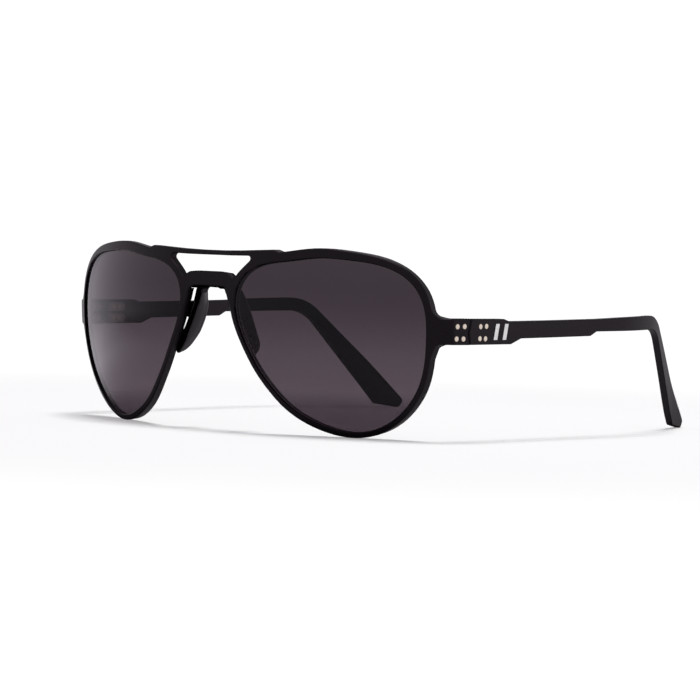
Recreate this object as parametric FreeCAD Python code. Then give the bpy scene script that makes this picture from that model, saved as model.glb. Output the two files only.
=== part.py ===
"""Aviator sunglasses: one-piece metal front, two lenses, nose piece, two temples on paired hinges.

Millimetres.  +X is the wearer's left, the lenses face -Y, +Z is up.  The working frame has x = 0
on the mirror plane, y = 0 on the foremost line of the front and z = 0 on the resting plane.  At
the end everything is moved so that the middle of the bottom of the bounding box is the origin.
Parts that come in pairs are built on the +X side and mirrored.
"""

import FreeCAD
import Part
import math
import os

V = FreeCAD.Vector

# ---------------------------------------------------------------- front dimensions
# The front is a sheet curved to a sphere over each eye and to a plain cylinder over the nose.
CURVE_R = 83.6            # radius of the front surface
CURVE_HALF_FLAT = 11.75   # half width of the part that is curved only up and down
CURVE_Z = 34.65           # height of the foremost line
RIM_T = 2.4               # depth of the rims
FRONT_CHAMFER = 0.30
BACK_CHAMFER = 0.22
COLUMN_START = V(0, -5, 0)     # columns along Y that carry the front outlines
COLUMN_EXTENT = V(0, 50, 0)

# Lens opening, polar about (OPENING_X, OPENING_Z): one radius every 10 degrees,
# 0 = temporal, 90 = top.
OPENING_X, OPENING_Z = 34.47, 24.73
STATION_DEG = 10
OPENING_R = [27.84, 28.55, 29.53, 30.11, 29.61, 28.01, 26.03, 24.48, 23.62,
             23.19, 23.06, 23.53, 24.88, 26.73, 28.01, 27.74, 25.90, 23.34,
             21.09, 19.57, 18.67, 18.15, 17.98, 18.22, 18.78, 19.52, 20.43,
             21.63, 23.11, 24.59, 25.73, 26.44, 26.87, 27.19, 27.41, 27.55]
# Width of the rim at the same stations.
RIM_W = [1.23, 1.32, 1.46, 1.64, 1.85, 2.07, 2.28, 2.47, 2.61,
         2.70, 2.73, 2.69, 2.60, 2.46, 2.28, 2.07, 1.72, 1.48,
         1.43, 1.42, 1.42, 1.43, 1.46, 1.52, 1.58, 1.63, 1.67,
         1.67, 1.65, 1.60, 1.52, 1.43, 1.34, 1.26, 1.21, 1.19]

# Brow bar and lower bridge, and the window between them: +X half, (x, z, corner radius).
PLATE = [(4.0, 49.12, 20), (11.0, 49.31, 20), (17.5, 49.64, 20), (22.0, 49.86, 0.8),
         (24.1, 49.2, 0.5), (25.6, 48.5, 0), (20.0, 44.0, 0), (14.0, 38.0, 0), (11.0, 31.0, 0),
         (9.0, 31.5, 0), (7.55, 35.6, 3.0), (6.75, 39.25, 2.0), (2.5, 39.42, 10)]
WINDOW = [(7.5, 47.8, 10), (15.7, 47.95, 0.83), (10.9, 43.68, 6.0), (9.22, 41.76, 0.35),
          (8.3, 42.45, 1.0), (7.0, 43.13, 2.0), (4.0, 43.39, 10)]
# Corners rounded where bars and end pieces meet the rims, (x, z, radius).
JUNCTIONS = [(8.2, 33.9, 3.0), (24.05, 49.2, 0.6), (63.7, 34.7, 3.0), (63.2, 22.0, 1.0)]

# End piece: a tab on the front, (x, z, corner radius), and a slab that runs back from it.
END_Z0, END_Z1 = 26.07, 33.10
END_TAB = [(58.0, 43.0, 0), (60.9, 41.5, 0), (64.3, END_Z1, 3.4), (76.0, END_Z1, 0),
           (76.0, END_Z0, 0), (64.55, END_Z0, 1.8), (62.2, 19.0, 0), (58.0, 19.0, 0)]
END_T = 2.85
END_FACE_DEG = 8.4        # the riveted face of the end piece, measured from +Y
END_FACE_POINT = (69.083, 28.5)    # a point on that face, (x, y)
END_SLAB_Y = (14, 30.5)
END_SLAB_INNER_X = 63.1
END_SLAB_BEND_Y = (20.4, 23.3)     # where the slab's inner face leaves one plane and joins the next
END_CORNER_R = 2.0

# Split between end piece and temple: a shallow chevron, (y, z).
SPLIT = [(28.98, 34.0), (28.98, 33.1), (28.02, 29.35), (28.64, 26.0), (28.64, 25.0)]
SPLIT_GAP = 0.26
SPLIT_TOOL_Z = (20.0, 40.0)
SPLIT_TOOL_END_X = 80.0

# ---------------------------------------------------------------- temple dimensions
# Outer face in plan, (y, x), and side outline, (y, z, corner radius).
TEMPLE_PLAN = [(20.0, 68.88), (45.0, 69.476), (70.0, 70.071), (88.0, 70.50), (95.0, 70.64),
               (100.0, 70.57), (105.0, 70.05), (110.0, 69.10), (115.0, 67.75), (120.0, 65.95),
               (125.0, 63.90), (130.0, 61.80), (135.0, 59.65), (140.0, 57.60), (145.0, 55.95),
               (150.0, 54.40), (154.0, 53.20)]
STRAIGHT_ENDS = TEMPLE_PLAN[0], TEMPLE_PLAN[3]
TEMPLE_T0, TEMPLE_T1 = 2.80, 2.20      # thickness before and after the taper
TEMPLE_TAPER_Y = (86.0, 112.0)
TEMPLE_TOP = [(20.0, 33.10, 0), (43.07, 33.02, 0.5), (45.47, 32.35, 1.2), (62.74, 32.52, 30),
              (85.3, 32.86, 30), (99.0, 33.33, 30), (117.9, 33.78, 13.0), (151.45, 1.95, 1.4)]
TEMPLE_BOTTOM = [(149.6, -0.10, 1.0), (141.9, 1.05, 1.0), (118.0, 29.75, 10.5),
                 (98.0, 29.48, 30), (84.31, 29.40, 1.2), (81.55, 28.16, 1.2),
                 (62.99, 27.86, 30), (50.69, 27.70, 1.2), (46.34, 26.16, 0.8), (20.0, 26.07, 0)]
TEMPLE_CHAMFER = 0.30
TEMPLE_TIP_Y = 147        # behind this every sharp edge is chamfered

# Inlaid mark on each temple: two leaning bars.
MARK_C = (41.6, 29.55)    # centre, (y, z)
MARK_OFFSETS = (-1.9, 1.9)     # bar centres along y
MARK_W, MARK_H = 1.5, 4.3
MARK_LEAN = 0.9           # shift along y from bottom to top
MARK_DEPTH, MARK_PROUD = 0.14, 0.02
MARK_SLAB_Y = (30, 60)

# ---------------------------------------------------------------- lens dimensions
# A curved sheet whose edge carries a thinner tongue that sits in a groove inside the rim.
LENS_RECESS = 0.58
LENS_T = 1.60
TONGUE_RECESS, TONGUE_T, TONGUE_H = 0.98, 0.84, 0.50
GROOVE_RECESS, GROOVE_T, GROOVE_H = 0.92, 0.96, 0.60
LENS_GAP = 0.04

# ---------------------------------------------------------------- hinge and rivet dimensions
# Two hinges per side, one above the other.
HINGE_X, HINGE_Y = 64.45, 28.62
HINGE_Z = {"upper": 31.03, "lower": 27.72}
LEAF_H = 2.45
LEAF_T = 0.60
LEAF_GAP = 0.01
BARREL_R = 1.20
SCREW_R, SCREW_BORE_R = 0.50, 0.55
SCREW_BORE_L = 12
SCREW_END_GAP = 0.02
SCREW_HEAD_R, SCREW_HEAD_T, SCREW_HEAD_CHAMFER = 0.88, 0.34, 0.09
SCREW_SLOT_L, SCREW_SLOT_W, SCREW_SLOT_D = 3, 0.22, 0.16
SCREW_SLOT_DEG = 35
KNUCKLES = 5
KNUCKLE_GAP = 0.06
WEB_INSET = 0.02          # how far the web corners stay inside the leaf plate's faces
WEB_BARREL_X = 0.98 * BARREL_R     # web corner on the barrel's inner side, from the axis
WEB_BARREL_Y = 0.2
FRONT_LEAF_Y = (23.20, 27.30)
TEMPLE_LEAF_Y = (30.35, 37.90)

# Rivets, (y, z) of each head centre on the outer faces.
FRONT_RIVETS = [(23.84, 30.99), (26.40, 31.03), (23.60, 27.72), (26.07, 27.72)]
TEMPLE_RIVETS = [(32.84, 31.00), (35.30, 31.06), (32.63, 27.78), (35.00, 27.74)]
RIVET_R, RIVET_HOLE_R = 0.45, 0.50
RIVET_HEAD_R, RIVET_HEAD_GAP = 0.72, 0.02      # the gap is under the head
RIVET_SEAT_R, RIVET_SEAT_D, RIVET_PROUD = 0.80, 0.50, 0.10
RIVET_TAIL_R, RIVET_TAIL_T, RIVET_TAIL_CHAMFER = 0.72, 0.35, 0.14
RIVET_TAIL_GAP = 0.01
RIVET_TAIL_CLEARANCE = 0.02    # radial
HOLE_LEAD = 1.0           # how far the hole tools start outside the face
LEAF_HOLE_L = 8

# ---------------------------------------------------------------- nose piece dimensions
# Pad stations: (z, front edge x on the nose side, front edge x on the rim side, front edge y,
# rear edge x, rear edge y).
PAD = [(40.6, 3.90, 6.20, 3.10, 5.85, 5.70),
       (38.0, 3.45, 6.70, 2.90, 6.45, 7.10),
       (36.0, 4.75, 7.11, 2.85, 7.05, 8.00),
       (34.0, 5.50, 7.82, 2.85, 7.55, 8.70),
       (32.0, 6.35, 8.60, 2.85, 8.27, 9.15),
       (30.0, 7.12, 9.39, 2.90, 8.95, 9.33),
       (28.0, 8.15, 10.42, 3.00, 9.83, 9.33),
       (26.0, 9.20, 11.64, 3.15, 10.85, 9.15),
       (24.0, 10.20, 12.85, 3.32, 12.05, 8.60),
       (22.4, 11.30, 13.65, 3.47, 12.65, 7.50),
       (21.2, 12.30, 14.10, 3.62, 13.00, 5.90),
       (20.6, 12.95, 14.15, 3.80, 13.60, 4.95)]
PAD_REAR_T = 0.9          # sets the thickness of the pad along its rear edge
# Rear corners of each pad section, (x, y) from the rear edge.
PAD_REAR_CORNERS = [(0.15, -0.55), (-0.10, 0), (-PAD_REAR_T * 0.75, -0.35)]
# Saddle: a shallow part that fills a pocket behind the lower bridge, and a deeper part that
# joins the pads.  +X half, (x, z, corner radius).
POCKET_DEPTH = 1.15
POCKET_HALF, POCKET_Z = 8.72, (38.50, 44.60)
SADDLE_FRONT = [(4.0, 43.33, 10), (6.95, 43.06, 2.0), (8.22, 42.40, 1.0), (8.66, 42.02, 0),
                (8.66, 38.56, 0.5), (6.1, 38.56, 0.2), (6.0, 37.9, 0.2), (4.6, 37.9, 0),
                (4.15, 38.55, 1.0), (1.5, 38.95, 4.0)]
SADDLE_BACK = [(5.0, 42.0, 0.6), (7.3, 41.4, 0.5), (7.3, 39.6, 0.4), (6.9, 38.6, 0.8),
               (6.9, 37.9, 0.4), (4.6, 37.9, 0), (4.15, 38.55, 1.0), (1.5, 38.95, 4.0)]
SADDLE_BACK_Y = 5.60
SADDLE_GAP = 0.04
CLIP_TABS = [(32.0, 34.0), (24.6, 27.2)]   # heights of the tabs that reach behind each rim
CLIP_TAB_REACH = 1.35     # beyond the pad's rim-side edge
CLIP_TAB_ROOT = 1.3       # inside that edge
CLIP_TAB_DEPTHS = (RIM_T + 0.02, RIM_T + 0.95)
CLIP_TAB_R = 0.3

ORIGIN = V(0, 0, 0)


# ---------------------------------------------------------------- outlines and prisms
def xz(a, b):
    return V(a, 0, b)


def yz(a, b):
    return V(0, a, b)


def xy(a, b):
    return V(a, b, 0)


def corner_arc(before, corner, after):
    """Start, end and middle of a corner's arc; the middle is None where the corner is sharp."""
    x, y, radius = corner
    in_x, in_y = before[0] - x, before[1] - y
    out_x, out_y = after[0] - x, after[1] - y
    in_len, out_len = math.hypot(in_x, in_y), math.hypot(out_x, out_y)
    in_x, in_y, out_x, out_y = in_x / in_len, in_y / in_len, out_x / out_len, out_y / out_len
    angle = math.acos(max(-1, min(1, in_x * out_x + in_y * out_y)))
    if radius <= 0 or angle > math.pi - 1e-3:
        return (x, y), (x, y), None
    # the arc uses less than half of either side, so neighbouring arcs never meet
    setback = min(radius / math.tan(angle / 2), 0.47 * in_len, 0.47 * out_len)
    radius = setback * math.tan(angle / 2)
    mid_x, mid_y = in_x + out_x, in_y + out_y
    mid_len = math.hypot(mid_x, mid_y)
    to_centre = radius / math.sin(angle / 2)
    centre_x, centre_y = x + mid_x / mid_len * to_centre, y + mid_y / mid_len * to_centre
    middle = (centre_x - mid_x / mid_len * radius, centre_y - mid_y / mid_len * radius)
    start = (x + in_x * setback, y + in_y * setback)
    end = (x + out_x * setback, y + out_y * setback)
    return start, end, middle


def rounded_wire(points, place):
    """Closed wire of straight lines and corner arcs through (a, b, radius) points."""
    count = len(points)
    arcs = [corner_arc(points[i - 1], points[i], points[(i + 1) % count]) for i in range(count)]
    edges = []
    for i, (start, end, middle) in enumerate(arcs):
        if middle is not None:
            edges.append(Part.Arc(place(*start), place(*middle), place(*end)).toShape())
        following = arcs[(i + 1) % count][0]
        if math.hypot(following[0] - end[0], following[1] - end[1]) > 1e-6:
            edges.append(Part.makeLine(place(*end), place(*following)))
    return Part.Wire(edges)


def wire_prism(wire, start, extent):
    face = Part.Face(wire)
    face.translate(start)
    return face.extrude(extent)


def rounded_prism(points, place, start, extent):
    return wire_prism(rounded_wire(points, place), start, extent)


def polygon_prism(points, place, start, extent):
    corners = [place(*p) for p in points]
    return wire_prism(Part.makePolygon(corners + corners[:1]), start, extent)


def mirror_points(points):
    """Closed outline from its +X half, listed from the top centre round to the bottom centre."""
    return points + [(-x, z, radius) for x, z, radius in reversed(points)]


def mirror_x(shape):
    return shape.mirror(ORIGIN, V(1, 0, 0))


def spline(points, closed=False):
    curve = Part.BSplineCurve()
    if closed:
        curve.interpolate(Points=points, PeriodicFlag=True)
    else:
        curve.interpolate(Points=points)
    return curve


def eye_curve(offsets):
    """Closed curve in the XZ plane: the lens opening moved outward by one offset per station."""
    centre = xz(OPENING_X, OPENING_Z)
    base = []
    for i, r in enumerate(OPENING_R):
        angle = math.radians(STATION_DEG * i)
        base.append(xz(OPENING_X + r * math.cos(angle), OPENING_Z + r * math.sin(angle)))
    curve = spline(base, closed=True)
    if not any(offsets):
        return curve
    moved = []
    for p, offset in zip(base, offsets):
        tangent = curve.tangent(curve.parameter(p))[0]
        normal = V(tangent.z, 0, -tangent.x)
        if normal.dot(p - centre) < 0:
            normal = -normal
        moved.append(p + normal * offset)
    return spline(moved, closed=True)


def eye_prism(offsets):
    """Eye-shaped column along Y, moved outward by one offset or by one per station."""
    if not isinstance(offsets, list):
        offsets = [offsets] * len(OPENING_R)
    wire = Part.Wire([eye_curve(offsets).toShape()])
    return wire_prism(wire, COLUMN_START, COLUMN_EXTENT)


def front_prism(points):
    return rounded_prism(points, xz, COLUMN_START, COLUMN_EXTENT)


# ---------------------------------------------------------------- layers of the curved front
def eye_ball(depth):
    return Part.makeSphere(CURVE_R - depth, V(CURVE_HALF_FLAT, CURVE_R, CURVE_Z))


def envelope(depth):
    """Everything behind the front surface moved back by depth: +X part and middle part."""
    side = eye_ball(depth).common(Part.makeBox(80, 70, 90, V(CURVE_HALF_FLAT, -5, -20)))
    width = 2 * CURVE_HALF_FLAT
    axis_start = V(-CURVE_HALF_FLAT, CURVE_R, CURVE_Z)
    middle = Part.makeCylinder(CURVE_R - depth, width, axis_start, V(1, 0, 0))
    middle = middle.common(Part.makeBox(width, 70, 90, V(-CURVE_HALF_FLAT, -5, -20)))
    return side, middle


def shell(depth0, depth1, both_sides=True):
    """The layer of the front between two depths."""
    side0, middle0 = envelope(depth0)
    side1, middle1 = envelope(depth1)
    side = side0.cut(side1)
    middle = middle0.cut(middle1)
    if not both_sides:
        return side.fuse(middle)
    return side.fuse([middle, mirror_x(side)])


def surface_distance(p):
    """Distance from the centre, or centre line, of the front's curvature."""
    centre_x = max(-CURVE_HALF_FLAT, min(CURVE_HALF_FLAT, p.x))
    return math.sqrt((p.x - centre_x) ** 2 + (p.y - CURVE_R) ** 2 + (p.z - CURVE_Z) ** 2)


# ---------------------------------------------------------------- solids and edges
def one_solid(shape):
    """The merged shape as a single solid; the largest one if slivers were left."""
    shape = shape.removeSplitter()
    if len(shape.Solids) != 1:
        return max(shape.Solids, key=lambda solid: solid.Volume)
    return shape.Solids[0]


def break_edges(shape, edges, size, operation="makeChamfer"):
    """Chamfer or fillet the edges together, or leave the shape as it is if that fails."""
    if not edges:
        return shape
    # guards against edge sets the kernel can't chamfer or fillet
    try:
        broken = getattr(shape, operation)(size, edges)
        if broken.isValid() and broken.Solids and broken.Volume > 0.5 * shape.Volume:
            return one_solid(broken)
    except Exception:
        pass
    return shape


def middle_parameter(edge):
    return (edge.FirstParameter + edge.LastParameter) / 2


def edge_middle(edge):
    return edge.valueAt(middle_parameter(edge))


def middle_tangent(edge):
    return edge.tangentAt(middle_parameter(edge))


def normals_at(p, faces):
    return [face.normalAt(*face.Surface.parameter(p)) for face in faces]


def edges_with_normals(shape):
    """(edge, its middle, the two face normals there) for every edge between two faces."""
    table = {}
    for face in shape.Faces:
        for edge in face.Edges:
            table.setdefault(edge.hashCode(), [edge, []])[1].append(face)
    found = []
    for edge, faces in table.values():
        if len(faces) == 2:
            p = edge_middle(edge)
            found.append((edge, p, normals_at(p, faces)))
    return found


def chamfer_end(cylinder, end_centre, size):
    """Chamfer the circle of a cylinder that is centred on end_centre."""
    rims = [edge for edge in cylinder.Edges if len(edge.Vertexes) == 1
            and edge.CenterOfMass.distanceToPoint(end_centre) < 0.01]
    return cylinder.makeChamfer(size, rims)


# ---------------------------------------------------------------- outer faces at the hinges
END_ANGLE = math.radians(END_FACE_DEG)
(STRAIGHT_Y0, STRAIGHT_X0), (STRAIGHT_Y1, STRAIGHT_X1) = STRAIGHT_ENDS
TEMPLE_ANGLE = math.atan((STRAIGHT_X1 - STRAIGHT_X0) / (STRAIGHT_Y1 - STRAIGHT_Y0))
END_NORMAL = V(math.cos(END_ANGLE), -math.sin(END_ANGLE), 0)
TEMPLE_NORMAL = V(math.cos(TEMPLE_ANGLE), -math.sin(TEMPLE_ANGLE), 0)


def end_x(y):
    """Outer face of the end piece."""
    return END_FACE_POINT[0] - (END_FACE_POINT[1] - y) * math.tan(END_ANGLE)


def temple_x(y):
    """Outer face of the straight part of the temple."""
    rise = STRAIGHT_X1 - STRAIGHT_X0
    return STRAIGHT_X0 + (y - STRAIGHT_Y0) * rise / (STRAIGHT_Y1 - STRAIGHT_Y0)


def split_tool(shift, far_y, start_x):
    """Block from the split line, shifted along y, out to far_y."""
    bottom, top = SPLIT_TOOL_Z
    points = [(SPLIT[0][0] + shift, top)]
    points += [(y + shift, z) for y, z in SPLIT]
    points += [(SPLIT[-1][0] + shift, bottom), (far_y, bottom), (far_y, top)]
    return polygon_prism(points, yz, V(start_x, 0, 0), V(SPLIT_TOOL_END_X - start_x, 0, 0))


# ---------------------------------------------------------------- rivets
def head_centres(outer_x, rivets):
    return [V(outer_x(y), y, z) for y, z in rivets]


def rivet_hole(centre, normal, thickness):
    """Tools for the through hole and the head's seat."""
    start = centre + normal * HOLE_LEAD
    through = Part.makeCylinder(RIVET_HOLE_R, thickness + 3, start, -normal)
    seat = Part.makeCylinder(RIVET_SEAT_R, RIVET_SEAT_D + HOLE_LEAD, start, -normal)
    return [through, seat]


def rivet(centre, normal, thickness):
    """Outer head in its seat with a slight dome, shank, and formed inner head on the leaf."""
    reach = thickness + LEAF_GAP + LEAF_T + RIVET_TAIL_GAP
    head_t = RIVET_SEAT_D - RIVET_HEAD_GAP
    head = Part.makeCylinder(RIVET_HEAD_R, head_t, centre - normal * head_t, normal)
    dome_r = (RIVET_HEAD_R ** 2 + RIVET_PROUD ** 2) / (2 * RIVET_PROUD)
    cap = Part.makeCylinder(RIVET_HEAD_R, RIVET_PROUD + 0.02, centre - normal * 0.01, normal)
    dome = Part.makeSphere(dome_r, centre + normal * (RIVET_PROUD - dome_r)).common(cap)
    shank_l = reach + 0.1    # runs a little into the inner head
    shank = Part.makeCylinder(RIVET_R, shank_l, centre - normal * shank_l, normal)
    tail_end = centre - normal * (reach + RIVET_TAIL_T)
    tail = Part.makeCylinder(RIVET_TAIL_R, RIVET_TAIL_T, tail_end, normal)
    tail = chamfer_end(tail, tail_end, RIVET_TAIL_CHAMFER)
    return one_solid(head.fuse([dome, shank, tail]))


def rivet_group(rivets, outer_x, normal, thickness):
    centres = head_centres(outer_x, rivets)
    return Part.makeCompound([rivet(centre, normal, thickness) for centre in centres])


# ---------------------------------------------------------------- front
def smooth_junctions(column):
    """Round the corners where bars and end pieces run into the rims."""
    for x, z, radius in JUNCTIONS:
        for side in (1, -1):
            corners = [(edge, p) for edge, p, normals in edges_with_normals(column)
                       if abs(middle_tangent(edge).y) >= 0.99
                       and normals[0].getAngle(normals[1]) >= 0.02]
            nearest = min(corners, key=lambda c: math.hypot(c[1].x - side * x, c[1].z - z))
            column = column.makeFillet(radius, [nearest[0]])
    return column


def front_outline():
    """Column along Y with the outer outline of the whole front."""
    ring = eye_prism(RIM_W)
    plate = front_prism(mirror_points(PLATE))
    tab = front_prism(END_TAB)
    # the tab stops at the end piece's outer face
    beyond = [(end_x(-5), -5), (end_x(-5) + 30, -5), (end_x(60) + 30, 60), (end_x(60), 60)]
    tab = tab.cut(polygon_prism(beyond, xy, V(0, 0, 10), V(0, 0, 40)))
    side = ring.fuse(tab)
    outline = plate.fuse([side, mirror_x(side)])
    return smooth_junctions(outline.removeSplitter())


def end_slab():
    """The part of the end piece that runs back to the split."""
    front_y, rear_y = END_SLAB_Y
    bend_y0, bend_y1 = END_SLAB_BEND_Y
    plan = [(end_x(rear_y), rear_y), (end_x(front_y), front_y), (END_SLAB_INNER_X, front_y),
            (END_SLAB_INNER_X, bend_y0), (end_x(bend_y1) - END_T, bend_y1),
            (end_x(rear_y) - END_T, rear_y)]
    slab = polygon_prism(plan, xy, V(0, 0, END_Z0), V(0, 0, END_Z1 - END_Z0))
    slab = slab.common(eye_ball(0))
    return slab.cut(split_tool(-SPLIT_GAP / 2, 40.0, 60))


def front_body():
    body = front_outline().common(shell(0.0, RIM_T))
    slab = end_slab()
    body = body.fuse([slab, mirror_x(slab)])
    window = front_prism(mirror_points(WINDOW))
    opening = eye_prism(0)
    pocket = Part.makeBox(2 * POCKET_HALF, 12, POCKET_Z[1] - POCKET_Z[0],
                          V(-POCKET_HALF, -2, POCKET_Z[0]))
    pocket = pocket.common(shell(POCKET_DEPTH, RIM_T + 4.0))
    body = body.cut([window, opening, mirror_x(opening)])
    return one_solid(body.cut(pocket))


def end_corner_edges(front):
    """Upright edges where the front surface meets the end pieces' riveted faces."""
    found = []
    for edge in front.Edges:
        centre = edge.CenterOfMass
        in_place = abs(centre.x) > 66.5 and centre.y < 23.0 and 27 < centre.z < 32
        if in_place and abs(middle_tangent(edge).z) > 0.8 and edge.Length > 3:
            found.append(edge)
    return found


def broad_edges(shape, outer):
    """Edges where the front's broad outer or inner faces meet a wall."""
    layer_r = CURVE_R if outer else CURVE_R - RIM_T
    face_depth = 0 if outer else END_T
    underside_x = 66 if outer else 63
    found = []
    for edge, p, normals in edges_with_normals(shape):
        if normals[0].dot(normals[1]) > 0.75:
            continue
        x = abs(p.x)
        on_layer = abs(surface_distance(p) - layer_r) < 2e-3
        on_end = x > 64 and abs(x - (end_x(p.y) - face_depth)) < 0.02 and p.y > 22.5
        on_corner = outer and abs(p.z - END_Z1) < 0.01 and x > 67 and p.y < 24
        # the underside of the end piece keeps its sharp edges
        on_underside = x > underside_x and 22.0 < p.z < END_Z0 + 0.2
        if (on_layer or on_end or on_corner) and not on_underside:
            found.append(edge)
    return found


def inner_loops(edges):
    """The edges that run round a lens opening or the window between the bars."""
    found = []
    for edge in edges:
        p = edge_middle(edge)
        dx, dz = abs(p.x) - OPENING_X, p.z - OPENING_Z
        station = math.degrees(math.atan2(dz, dx)) % 360 / STATION_DEG
        i = int(station)
        r0, r1 = OPENING_R[i % 36], OPENING_R[(i + 1) % 36]
        in_opening = math.hypot(dx, dz) < r0 + (r1 - r0) * (station - i) + 0.5
        in_window = abs(p.x) < 15.9 and 41.5 < p.z < 48.2
        if in_opening or in_window:
            found.append(edge)
    return found


def cut_front_details(front):
    """Lens grooves and rivet holes."""
    layer = shell(GROOVE_RECESS, GROOVE_RECESS + GROOVE_T, both_sides=False)
    tools = [eye_prism(GROOVE_H).common(layer)]
    for centre in head_centres(end_x, FRONT_RIVETS):
        tools += rivet_hole(centre, END_NORMAL, END_T)
    return front.cut([shape for tool in tools for shape in (tool, mirror_x(tool))])


def build_front():
    front = front_body()
    front = break_edges(front, end_corner_edges(front), END_CORNER_R, "makeFillet")
    front = break_edges(front, broad_edges(front, outer=True), FRONT_CHAMFER)
    front = break_edges(front, inner_loops(broad_edges(front, outer=False)), BACK_CHAMFER)
    return one_solid(cut_front_details(front))


# ---------------------------------------------------------------- lens
def build_lens():
    layer = shell(LENS_RECESS, LENS_RECESS + LENS_T, both_sides=False)
    body = eye_prism(-LENS_GAP).common(layer)
    layer = shell(TONGUE_RECESS, TONGUE_RECESS + TONGUE_T, both_sides=False)
    tongue = eye_prism(TONGUE_H).common(layer)
    return one_solid(body.fuse(tongue))


# ---------------------------------------------------------------- nose piece
def pad_section(station):
    z, nose_x, rim_x, front_y, rear_x, rear_y = station
    points = [V(nose_x, front_y, z), V(rim_x, front_y, z)]
    points += [V(rear_x + dx, rear_y + dy, z) for dx, dy in PAD_REAR_CORNERS]
    return Part.makePolygon(points + points[:1])


def pad_rim_x(z):
    """Rim-side x of the pad's front edge at height z."""
    for upper, lower in zip(PAD, PAD[1:]):
        if upper[0] >= z >= lower[0]:
            k = (upper[0] - z) / (upper[0] - lower[0])
            return upper[2] + (lower[2] - upper[2]) * k


def clip_tab(bottom, top, layer):
    """A tab that reaches behind the rim."""
    rim_x = pad_rim_x((bottom + top) / 2)
    root_x, tip_x = rim_x - CLIP_TAB_ROOT, rim_x + CLIP_TAB_REACH
    points = [(root_x, bottom - 0.1, 0), (tip_x, bottom, CLIP_TAB_R), (tip_x, top, CLIP_TAB_R),
              (root_x, top, 0)]
    return rounded_prism(points, xz, ORIGIN, V(0, 8, 0)).common(layer)


def build_nose():
    pad = Part.makeLoft([pad_section(station) for station in PAD], True, False)
    shallow = rounded_prism(mirror_points(SADDLE_FRONT), xz, ORIGIN, V(0, 8, 0))
    shallow = shallow.common(shell(POCKET_DEPTH + SADDLE_GAP, RIM_T + 0.10))
    deep = rounded_prism(mirror_points(SADDLE_BACK), xz, ORIGIN, V(0, SADDLE_BACK_Y, 0))
    deep = deep.cut(shell(-2.0, RIM_T + SADDLE_GAP))
    pieces = [mirror_x(pad), shallow, deep]
    layer = shell(*CLIP_TAB_DEPTHS, both_sides=False)
    for bottom, top in CLIP_TABS:
        tab = clip_tab(bottom, top, layer)
        pieces += [tab, mirror_x(tab)]
    return one_solid(pad.fuse(pieces))


# ---------------------------------------------------------------- temple
def temple_band():
    """Upright band with the temple's plan shape, thinner behind the taper."""
    outer = [V(x, y, 0) for y, x in TEMPLE_PLAN]
    outer_curve = spline(outer)
    y0, y1 = TEMPLE_TAPER_Y
    inner = []
    for p in outer:
        tangent = outer_curve.tangent(outer_curve.parameter(p))[0]
        normal = V(-tangent.y, tangent.x, 0)
        if normal.x > 0:
            normal = -normal
        k = min(1, max(0, (p.y - y0) / (y1 - y0)))
        k = k * k * (3 - 2 * k)
        inner.append(p + normal * (TEMPLE_T0 + (TEMPLE_T1 - TEMPLE_T0) * k))
    wire = Part.Wire([outer_curve.toShape(), Part.makeLine(outer[-1], inner[-1]),
                      spline(inner).toShape(), Part.makeLine(inner[0], outer[0])])
    wire = Part.Wire(Part.__sortEdges__(wire.Edges))
    return wire_prism(wire, V(0, 0, -2), V(0, 0, 40))


def temple_body():
    side = rounded_prism(TEMPLE_TOP + TEMPLE_BOTTOM, yz, V(45, 0, 0), V(40, 0, 0))
    body = temple_band().common(side)
    return one_solid(body.cut(split_tool(SPLIT_GAP / 2, 10.0, 40)))


def temple_long_edges(body):
    """Edges between a broad side face and the narrow rim of the bar, and all those at the tip."""
    found = []
    for edge in body.Edges:
        p = edge_middle(edge)
        faces = [face for face in body.Faces if any(x.isSame(edge) for x in face.Edges)]
        if len(faces) != 2:
            continue
        first, second = normals_at(p, faces)
        if abs(first.dot(second)) > 0.7:
            continue
        one_upright = (abs(first.z) < 0.05) != (abs(second.z) < 0.05)
        if (edge.Length > 0.02 and one_upright) or p.y > TEMPLE_TIP_Y:
            found.append(edge)
    return found


def mark_bars():
    y0, y1 = MARK_SLAB_Y
    plan = [(temple_x(y0) - MARK_DEPTH, y0), (temple_x(y1) - MARK_DEPTH, y1),
            (temple_x(y1) + MARK_PROUD, y1), (temple_x(y0) + MARK_PROUD, y0)]
    slab = polygon_prism(plan, xy, ORIGIN, V(0, 0, 40))
    bottom, top = MARK_C[1] - MARK_H / 2, MARK_C[1] + MARK_H / 2
    bars = []
    for offset in MARK_OFFSETS:
        y = MARK_C[0] + offset
        low_y, high_y = y - MARK_LEAN / 2, y + MARK_LEAN / 2
        outline = [(low_y - MARK_W / 2, bottom), (low_y + MARK_W / 2, bottom),
                   (high_y + MARK_W / 2, top), (high_y - MARK_W / 2, top)]
        bar = polygon_prism(outline, yz, ORIGIN, V(90, 0, 0))
        bars.append(bar.common(slab).Solids[0])
    return bars


def build_temple(marks):
    temple = temple_body()
    temple = break_edges(temple, temple_long_edges(temple), TEMPLE_CHAMFER)
    holes = []
    for centre in head_centres(temple_x, TEMPLE_RIVETS):
        holes += rivet_hole(centre, TEMPLE_NORMAL, TEMPLE_T0)
    return one_solid(temple.cut(holes + marks))


# ---------------------------------------------------------------- hinges
def leaf_point(outer_x, normal, thickness):
    """Function from (y, depth into the leaf) to a plan point, for a leaf on an inner face."""
    def point(y, depth):
        return outer_x(y) - (thickness + LEAF_GAP) / normal.x - depth / normal.x, y
    return point


def leaf_plate(point, y_range, hinge_z):
    y0, y1 = y_range
    plan = [point(y0, 0), point(y1, 0), point(y1, LEAF_T), point(y0, LEAF_T)]
    return polygon_prism(plan, xy, V(0, 0, hinge_z - LEAF_H / 2), V(0, 0, LEAF_H))


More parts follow.
